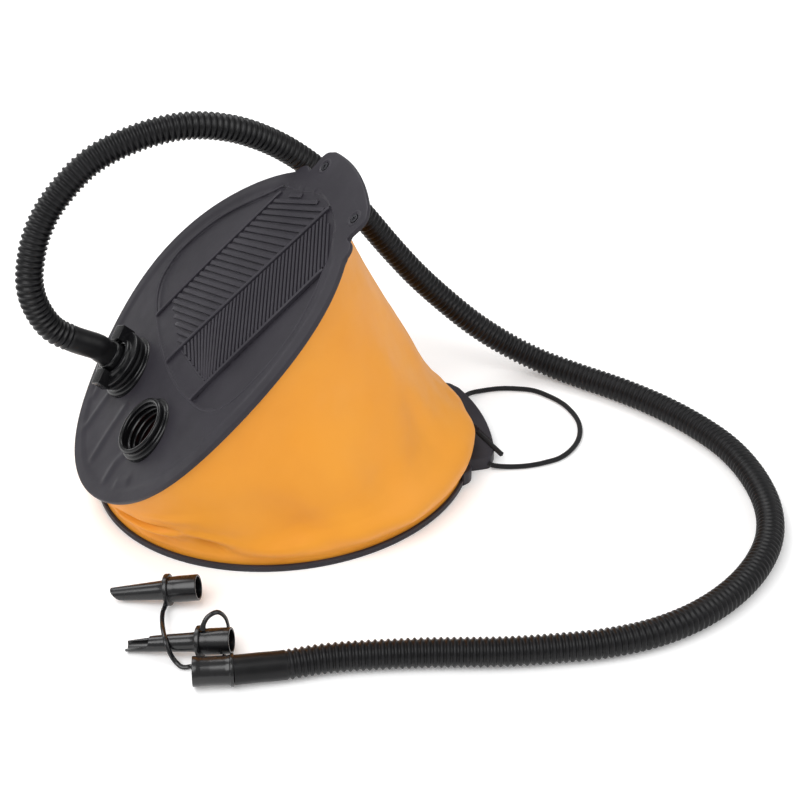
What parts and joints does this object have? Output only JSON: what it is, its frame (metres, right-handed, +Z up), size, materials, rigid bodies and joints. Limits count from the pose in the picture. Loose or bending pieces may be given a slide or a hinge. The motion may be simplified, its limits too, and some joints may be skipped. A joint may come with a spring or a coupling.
{
  "type": "bellows foot pump",
  "caption": "Foot air pump: two oval plates on a hinge around a fabric bellows, an open intake port, and a corrugated hose with two tethered nozzles.",
  "frame": {"origin": "centre of the base plate underside, on the floor", "axes": "+X from the hinge to the ears along the plates, +Z up from the floor"},
  "size_m": [0.506, 0.3906, 0.2598],
  "materials": {
    "plate_black": "moulded, matt, dark grey-black",
    "bracket_black": "moulded",
    "steel": "zinc plated",
    "screw_black": "blackened",
    "fabric_orange": "coated fabric with a soft sheen",
    "rope_black": "braided",
    "gloss_black": "glossy",
    "flap_red": "soft rubber",
    "rubber_black": "soft rubber",
    "hose_black": "corrugated, satin",
    "nozzle_black": "satin"
  },
  "bodies": {
    "base": {"base_plate": "plate_black", "base_clamp_ring": "plate_black", "base_hinge_bracket": "bracket_black", "base_bracket_screws": "steel", "hinge_pin": "steel", "pin_clips": "steel", "base_spring_seat": "bracket_black", "return_spring": "steel", "bellows": "fabric_orange", "rope_loop": "rope_black", "rope_knots": "rope_black", "rope_tail": "rope_black", "hose_drop": "hose_black", "hose_floor": "hose_black", "hose_end_cuff": "hose_black", "nozzle_socket": "nozzle_black", "nozzle_short": "nozzle_black", "nozzle_long": "nozzle_black", "tether_short": "nozzle_black", "tether_long": "nozzle_black"},
    "top": {"top_plate": "plate_black", "top_clamp_ring": "plate_black", "top_hinge_bracket": "bracket_black", "top_bracket_screws": "steel", "top_spring_seat": "bracket_black", "ear_backing": "plate_black", "ear_screws": "screw_black", "intake_collar": "gloss_black", "outlet_collar": "gloss_black", "intake_valve_grid": "gloss_black", "outlet_valve_grid": "gloss_black", "intake_valve_stud": "gloss_black", "outlet_valve_stud": "gloss_black", "hose_spigot": "gloss_black", "hose_start_cuff": "hose_black", "hose_arc": "hose_black"},
    "intake_flap": {"intake_flap": "flap_red"},
    "outlet_flap": {"outlet_flap": "flap_red"},
    "nut_gasket": {"nut_gasket": "rubber_black"},
    "winged_nut": {"winged_nut": "gloss_black"}
  },
  "joints": [
    {"name": "bellows_hinge", "type": "hinge", "parent": "base", "child": "top", "pos_m": [-0.118, 0, 0.0225], "axis": [0, 1, 0], "range_deg": [0, 40], "stiffness_Nm_per_rad": 4, "springref_deg": -34.38, "deforming": ["bellows", "return_spring", "hose_drop"]},
    {"name": "intake_valve", "type": "slide", "parent": "top", "child": "intake_flap", "axis": [0.6947, 0, -0.7193], "range_m": [0, 0.0024], "stiffness_N_per_m": 60, "springref_m": -0.001},
    {"name": "outlet_valve", "type": "slide", "parent": "top", "child": "outlet_flap", "axis": [-0.6947, 0, 0.7193], "range_m": [0, 0.0024], "stiffness_N_per_m": 60, "springref_m": -0.001},
    {"name": "nut_lift", "type": "slide", "parent": "top", "child": "nut_gasket", "axis": [-0.6947, 0, 0.7193], "range_m": [0, 0.005]},
    {"name": "nut_turn", "type": "hinge", "parent": "nut_gasket", "child": "winged_nut", "pos_m": [-0.1021, 0.04, 0.0783], "axis": [-0.6947, 0, 0.7193], "range_deg": [0, 720]}
  ],
  "couplings": [
    {"joint": "nut_turn", "follows": "nut_lift", "rad_per_m": 2513.2}
  ]
}
